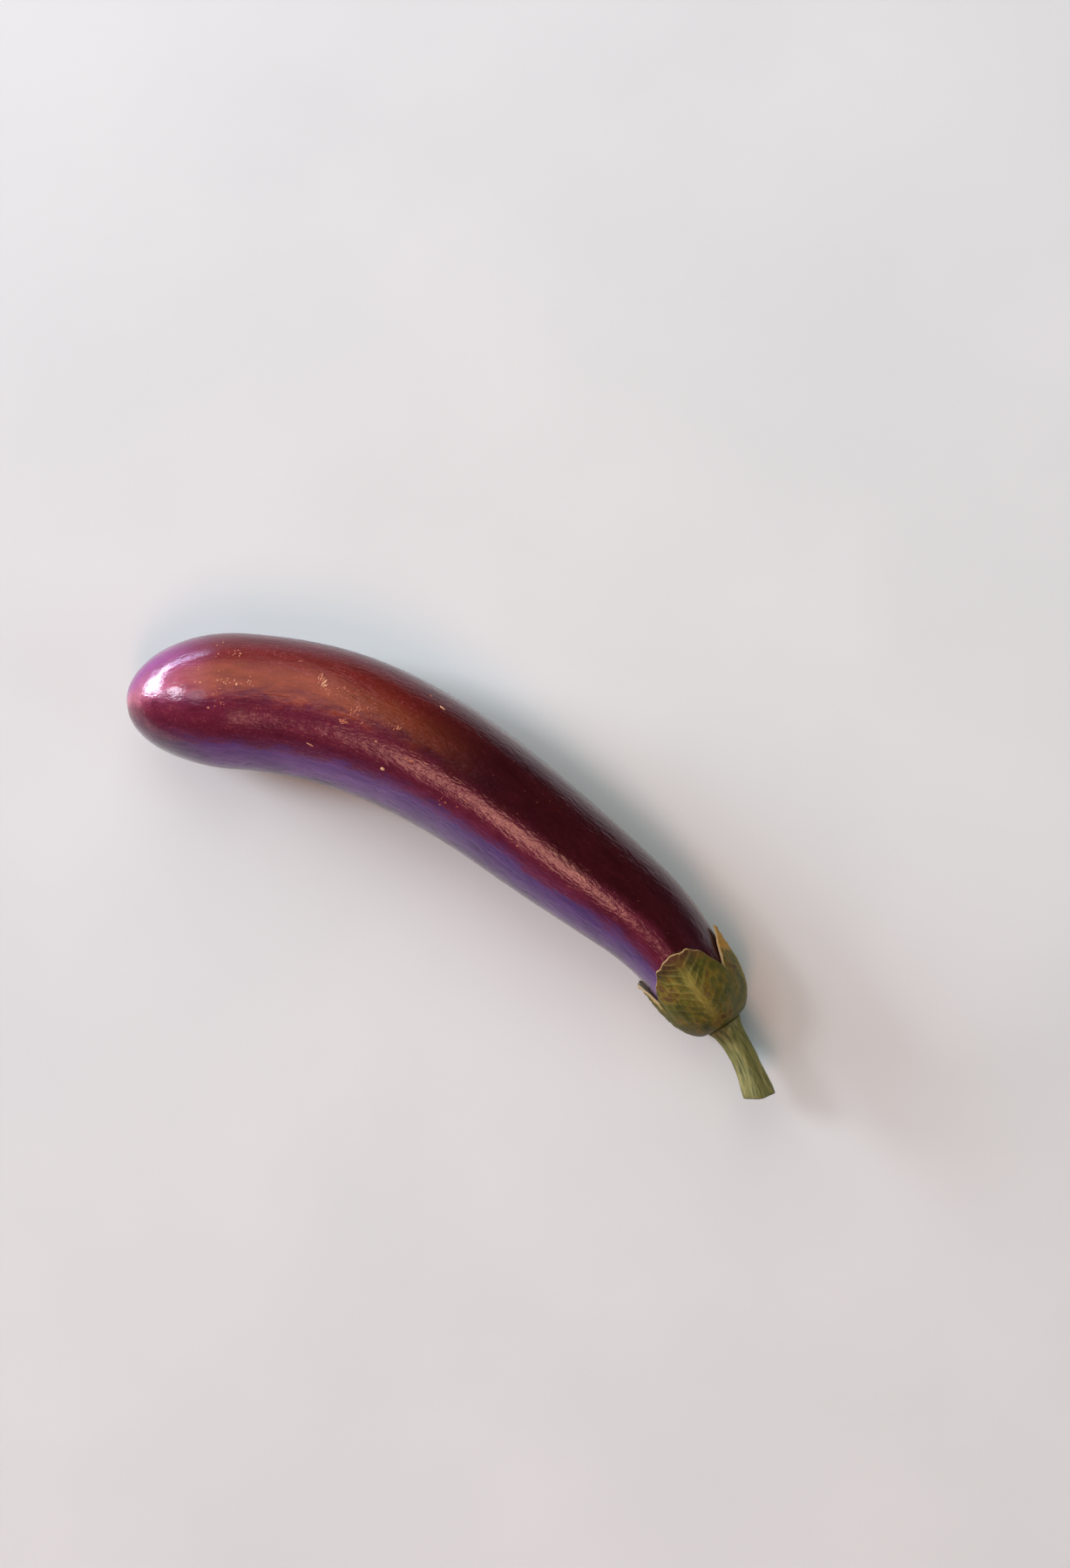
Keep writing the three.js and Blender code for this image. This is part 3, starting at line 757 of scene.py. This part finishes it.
def skin_material():
    """Eggplant skin, grown: thin, taut and waxy, so its gloss is clear, and its purple shifts all round,
    with painted reflections, a painted glow at the blossom end and painted shade on the neck in its colour.
    """
    material, tree = new_material("waxy eggplant skin")
    along = add(tree, "ShaderNodeAttribute", attribute_name="along").outputs["Vector"]
    part = add(tree, "ShaderNodeSeparateXYZ", {0: along})
    station = part.outputs["X"]
    patterns = skin_patterns(tree, along)
    to_neck = add(
        tree,
        "ShaderNodeMapRange",
        {"Value": station, "From Min": NECK_STARTS * MM, "From Max": NECK_FULL * MM},
        interpolation_type="SMOOTHSTEP",
    )
    streaky = add(
        tree,
        "ShaderNodeMapRange",
        {"Value": patterns["streaks"], "From Min": 0.3, "From Max": 0.7, "To Min": 0.88, "To Max": 1.12},
    )
    mottled = add(
        tree,
        "ShaderNodeMapRange",
        {"Value": patterns["mottles"], "From Min": 0.35, "From Max": 0.65, "To Min": 0.82, "To Max": 1.18},
    )
    darker = add(tree, "ShaderNodeMath", {0: streaky, 1: mottled}, operation="MULTIPLY")
    tones = skin_tones(tree, part, to_neck, patterns)
    toned = add(tree, "ShaderNodeVectorMath", {0: tones, "Scale": darker}, operation="SCALE")
    scuffed = skin_scuffs(tree, to_neck, patterns, toned)
    roughness = add(
        tree,
        "ShaderNodeMapRange",
        {"Value": patterns["streaks"], "From Min": 0.3, "From Max": 0.7, "To Min": 0.26, "To Max": 0.36},
    )
    ripples = skin_ripples(tree, station, patterns)
    shader = add(
        tree,
        "ShaderNodeBsdfPrincipled",
        {
            "Base Color": skin_pores(tree, along, scuffed),
            "Roughness": roughness,
            "IOR": 1.5,
            "Specular IOR Level": 0.25,
            "Specular Tint": linear("#c8a4ff"),
            "Coat Weight": skin_wax(tree, station, mottled),
            "Coat Roughness": 0.09,
            "Coat IOR": 1.5,
            "Normal": ripples,
            "Coat Normal": ripples,
        },
    )
    add(tree, "ShaderNodeOutputMaterial", {"Surface": shader})
    return material


def mark_material():
    """Cork that the skin grows over a scratch: dry, matte and tan, and redder where it is thin."""
    material, tree = new_material("dry skin cork")
    tone = add(tree, "ShaderNodeAttribute", attribute_name="tone").outputs["Fac"]
    tans = ((0.2, "#8a3c2c"), (0.6, "#b4684c"), (1.0, "#dcae86"))
    colour = add(tree, "ShaderNodeValToRGB", {0: tone}, tans)
    shader = add(tree, "ShaderNodeBsdfPrincipled", {"Base Color": colour, "Roughness": 0.55, "IOR": 1.45})
    add(tree, "ShaderNodeOutputMaterial", {"Surface": shader})
    return material


# The ochre patch of cork on the calyx: its middle's station, distance from the middle line and angle in
# radians, and its radius.
CORK_AT, CORK_OUT, CORK_ANGLE, CORK_RADIUS = 225, 16.5, 1.25, 7.5
BLUSH_STARTS, BLUSH_ENDS = 218, 228
LEAF_TONES = ((0.3, "#363808"), (0.47, "#4e4c10"), (0.58, "#685818"), (0.72, "#4c2e0e"))
BLUSH, VEIN, OCHRE, RIM, LINING = "#4c1620", "#8e8038", "#b07c0a", "#a88c58", "#c9c09a"


def calyx_tones(tree, station, blotches, vein):
    """Olive to brown blotches, a purple blush on the lobes' tips, as the sun gives, and paler veins."""
    leaf = add(tree, "ShaderNodeValToRGB", {0: blotches}, LEAF_TONES)
    to_tip = add(
        tree,
        "ShaderNodeMapRange",
        {
            "Value": station,
            "From Min": BLUSH_STARTS * MM,
            "From Max": BLUSH_ENDS * MM,
            "To Min": 0.75,
            "To Max": -0.6,
        },
    )
    sunned = {0: blotches, 1: 0.9, 2: to_tip}
    blush = add(tree, "ShaderNodeMath", sunned, operation="MULTIPLY_ADD", use_clamp=True)
    faded = add(tree, "ShaderNodeMath", {0: blush, 1: 0.9}, operation="MULTIPLY")
    blushed = add(
        tree, "ShaderNodeMix", {"Factor": faded, "A": leaf, "B": linear(BLUSH)}, data_type="RGBA"
    )
    pale = add(tree, "ShaderNodeMath", {0: vein, 1: 0.75}, operation="MULTIPLY")
    veined = {"Factor": pale, "A": blushed.outputs["Result"], "B": linear(VEIN)}
    return add(tree, "ShaderNodeMix", veined, data_type="RGBA").outputs["Result"]


def calyx_cork(tree, along, blotches, tone):
    """An ochre patch of cork over the tone, where the second lobe rubbed."""
    up, out = CORK_OUT * math.cos(CORK_ANGLE), CORK_OUT * math.sin(CORK_ANGLE)
    middle = Vector((CORK_AT, up, out)) * MM
    off = add(tree, "ShaderNodeVectorMath", {0: along, 1: middle}, operation="DISTANCE").outputs["Value"]
    ragged = add(tree, "ShaderNodeMath", {0: blotches, 1: 6 * MM, 2: off}, operation="MULTIPLY_ADD")
    ends = {"From Min": CORK_RADIUS * MM, "From Max": (CORK_RADIUS + 1.5) * MM}
    corky = add(tree, "ShaderNodeMapRange", {"Value": ragged, **ends, "To Min": 0.95, "To Max": 0.0})
    patched = {"Factor": corky, "A": tone, "B": linear(OCHRE)}
    return add(tree, "ShaderNodeMix", patched, data_type="RGBA").outputs["Result"]


def calyx_material():
    """Calyx, a leaf grown thick and half dry: leathery, matte, olive to brown, with a pale papery rim."""
    material, tree = new_material("leathery calyx")
    along = add(tree, "ShaderNodeAttribute", attribute_name="along").outputs["Vector"]
    edge, inside, vein = (
        add(tree, "ShaderNodeAttribute", attribute_name=name).outputs["Fac"]
        for name in ("edge", "inside", "vein")
    )
    station = add(tree, "ShaderNodeSeparateXYZ", {0: along}).outputs["X"]
    blotches = add(tree, "ShaderNodeTexNoise", {"Vector": along, "Scale": 1 / (5 * MM), "Detail": 6.0})
    fibres = add(tree, "ShaderNodeVectorMath", {0: along, 1: (0.2, 1.0, 1.0)}, operation="MULTIPLY")
    grain = add(tree, "ShaderNodeTexNoise", {"Vector": fibres, "Scale": 1 / (0.7 * MM), "Detail": 4.0})
    tones = calyx_tones(tree, station, blotches, vein)
    patched = calyx_cork(tree, along, blotches, tones)
    fibrous = add(
        tree,
        "ShaderNodeMapRange",
        {"Value": grain, "From Min": 0.3, "From Max": 0.7, "To Min": 0.7, "To Max": 1.3},
    )
    shaded = add(tree, "ShaderNodeVectorMath", {0: patched, "Scale": fibrous}, operation="SCALE")
    near_rim = add(
        tree,
        "ShaderNodeMapRange",
        {"Value": edge, "From Min": 0.15, "From Max": 0.7, "To Min": 0.9, "To Max": 0.0},
    )
    rimmed = add(
        tree, "ShaderNodeMix", {"Factor": near_rim, "A": shaded, "B": linear(RIM)}, data_type="RGBA"
    )
    lined = {"Factor": inside, "A": rimmed.outputs["Result"], "B": linear(LINING)}
    colour = add(tree, "ShaderNodeMix", lined, data_type="RGBA").outputs["Result"]
    bump = add(tree, "ShaderNodeBump", {"Height": grain, "Strength": 0.4, "Distance": 0.2 * MM})
    finish = {"Roughness": 0.5, "IOR": 1.45, "Specular IOR Level": 0.35, "Normal": bump}
    shader = add(tree, "ShaderNodeBsdfPrincipled", {"Base Color": colour, **finish})
    add(tree, "ShaderNodeOutputMaterial", {"Surface": shader})
    return material


# The stalk's tones, along its bark, and over its cut from the pith outwards.
BARK_TONES = ((0.3, "#3f421c"), (0.5, "#6a6a34"), (0.7, "#8c8450"))
CUT_TONES = (
    (0.25, "#9c9862"), (0.36, "#8a8450"), (0.42, "#c8ba8c"), (0.72, "#b8a674"), (0.82, "#86834c"),
    (0.92, "#55552a"),
)


def stem_material():
    """Eggplant stalk, cut: green-brown bark with fibres along it, and a paler, drier cut face."""
    material, tree = new_material("woody green stalk")
    along = add(tree, "ShaderNodeAttribute", attribute_name="along").outputs["Vector"]
    part = add(tree, "ShaderNodeSeparateXYZ", {0: along})
    fibres = add(tree, "ShaderNodeVectorMath", {0: along, 1: (0.12, 1.0, 1.0)}, operation="MULTIPLY")
    grain = add(tree, "ShaderNodeTexNoise", {"Vector": fibres, "Scale": 1 / (0.9 * MM), "Detail": 5.0})
    bark = add(tree, "ShaderNodeValToRGB", {0: grain}, BARK_TONES)
    cut_from = (CROWN_AT + GAP + STEM_LENGTH - 0.4) * MM
    cut = add(
        tree,
        "ShaderNodeMapRange",
        {"Value": part.outputs["X"], "From Min": cut_from, "From Max": cut_from + 0.3 * MM},
    )

    # The cut face has a sunken pith, pale wood round it, and a darker rim of bark.
    across = add(tree, "ShaderNodeVectorMath", {0: along, 1: (0.0, 1.0, 1.0)}, operation="MULTIPLY")
    radius = add(tree, "ShaderNodeVectorMath", {0: across}, operation="LENGTH").outputs["Value"]
    ragged = add(tree, "ShaderNodeMath", {0: grain, 1: 0.8 * MM, 2: radius}, operation="MULTIPLY_ADD")
    share = add(tree, "ShaderNodeMapRange", {"Value": ragged, "From Max": 6 * MM})
    face = add(tree, "ShaderNodeValToRGB", {0: share}, CUT_TONES)
    faced = add(tree, "ShaderNodeMix", {"Factor": cut, "A": bark, "B": face}, data_type="RGBA")
    bump = add(tree, "ShaderNodeBump", {"Height": grain.outputs[0], "Strength": 0.5, "Distance": 0.3 * MM})
    shader = add(
        tree,
        "ShaderNodeBsdfPrincipled",
        {"Base Color": faced.outputs["Result"], "Roughness": 0.68, "IOR": 1.45, "Normal": bump},
    )
    add(tree, "ShaderNodeOutputMaterial", {"Surface": shader})
    return material


def table_material():
    """Painted board, matte: a pale neutral tone with the faintest mottle."""
    material, tree = new_material("pale painted board")
    spot = add(tree, "ShaderNodeTexCoord").outputs["Object"]
    mottle = add(tree, "ShaderNodeTexNoise", {"Vector": spot, "Scale": 1 / (120 * MM), "Detail": 3.0})
    colour = add(tree, "ShaderNodeValToRGB", {0: mottle}, ((0.3, "#dbe3e2"), (0.7, "#e1e8e7")))
    shader = add(tree, "ShaderNodeBsdfPrincipled", {"Base Color": colour, "Roughness": 0.85})
    add(tree, "ShaderNodeOutputMaterial", {"Surface": shader})
    return material


# The stage: table, camera and lights.


def make_table():
    """A square board, a hair under the eggplant so that the two don't share a face."""
    half, top = 4.0, -0.02 * MM
    corners = [(-half, -half, top), (half, -half, top), (half, half, top), (-half, half, top)]
    table = mesh_object("table", corners, [(0, 1, 2, 3)])
    table.data.materials.append(table_material())


def make_camera():
    """Straight above, with the eggplant as large and as placed in the frame as in the photo."""
    camera = bpy.data.objects.new("camera", bpy.data.cameras.new("camera"))
    bpy.context.scene.collection.objects.link(camera)
    camera.data.sensor_width = 36
    camera.data.lens = 72
    middle_x = TIP_X + (FRAME_WIDE / 2 - TIP_PIXEL[0]) / PIXELS_PER_MM
    middle_y = TIP_Y - (FRAME_HIGH / 2 - TIP_PIXEL[1]) / PIXELS_PER_MM
    distance = FRAME_HIGH / PIXELS_PER_MM * camera.data.lens / camera.data.sensor_width
    camera.location = Vector((middle_x, middle_y, BELLY_RADIUS + distance)) * MM
    bpy.context.scene.camera = camera


def softbox(name, location, width, height, colour, radiance, feather, facing=None):
    """A lit rectangle at a place, in metres, that faces the eggplant or else has its back to a direction.

    Its light fades out towards its edges, over the given shares of its width and height.
    """
    light = bpy.data.lights.new(name, "AREA")
    light.shape = "RECTANGLE"
    light.size, light.size_y = width, height
    light.color = linear(colour)[:3]
    light.energy = radiance * math.pi * width * height
    light.use_nodes = True
    tree = light.node_tree
    tree.nodes.clear()
    spread = add(tree, "ShaderNodeNewGeometry").outputs["Parametric"]
    middle = add(tree, "ShaderNodeVectorMath", {0: spread, 1: (0.5, 0.5, 0.5)}, operation="SUBTRACT")
    size = add(tree, "ShaderNodeVectorMath", {0: middle}, operation="ABSOLUTE")
    off = add(tree, "ShaderNodeSeparateXYZ", {0: size})
    strength = 1.0
    for axis, share in zip("XY", feather):
        ends = {"From Min": 0.5 - share, "From Max": 0.5, "To Min": 1.0, "To Max": 0.0}
        inputs = {"Value": off.outputs[axis], **ends}
        fade = add(tree, "ShaderNodeMapRange", inputs, interpolation_type="SMOOTHSTEP")
        strength = add(tree, "ShaderNodeMath", {0: fade, 1: strength}, operation="MULTIPLY")
    glow = add(tree, "ShaderNodeEmission", {"Strength": strength})
    add(tree, "ShaderNodeOutputLight", {"Surface": glow})
    lamp = bpy.data.objects.new(name, light)
    bpy.context.scene.collection.objects.link(lamp)
    lamp.location = location
    lamp.rotation_mode = "QUATERNION"
    lamp.rotation_quaternion = Vector(facing or location).to_track_quat("Z", "Y")
    lamp.visible_camera = False


def make_lights():
    """A window wall low on the left gives the long highlight, the ridge light the streak on the body."""
    softbox("window wall", (-7.53, 7.59, 0.83), 17.1, 1.6, "#e8ecf8", 24, (0.01, 0.08), (-0.829, -0.559, 0))
    softbox("far window", (-1.5, 2.6, 0.19), 1.72, 0.34, "#dcd8ff", 20, (0.2, 0.15))
    softbox("small window", (-2.14, 0.74, 1.97), 0.9, 0.72, "#f0f2fc", 20, (0.2, 0.2))
    softbox("pale wall", (-1.45, 0.5, 2.55), 1.3, 1.0, "#f0eefa", 5, (0.45, 0.45))
    softbox("warm ceiling", (-0.32, 1.3, 1.42), 2.2, 2.8, "#f8ece4", 1.8, (0.3, 0.3))
    softbox("blue card", (-0.5, -1.55, 0.32), 2.4, 0.65, "#9fadff", 0.7, (0.3, 0.3))
    softbox("ridge light", (-0.08, -0.71, 1.43), 0.6, 1.1, "#ffb898", 9, (0.45, 0.35))
    softbox("cool fill", (1.57, -0.39, 0.53), 1.4, 0.9, "#d8f4f6", 3.9, (0.4, 0.4))
    world = bpy.data.worlds.new("soft room")
    world.use_nodes = True
    background = world.node_tree.nodes["Background"]
    background.inputs["Color"].default_value = linear("#dfe3ee")
    background.inputs["Strength"].default_value = 0.08
    bpy.context.scene.world = world
    bpy.context.scene.view_settings.view_transform = "Standard"


wrapped = wrap_tree()
fruit = make_fruit(wrapped, skin_material())
marks = make_marks(fruit, mark_material())
calyx = make_calyx(calyx_material())
stem = make_stem(wrapped, stem_material())
for piece, node, slot in (
    (fruit, "fruit", "skin"),
    (marks, "fruit", "skin"),
    (calyx, "calyx", "calyx"),
    (stem, "stem", "stem"),
):
    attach(piece, "root")
    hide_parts(node)
make_table()
make_camera()
make_lights()
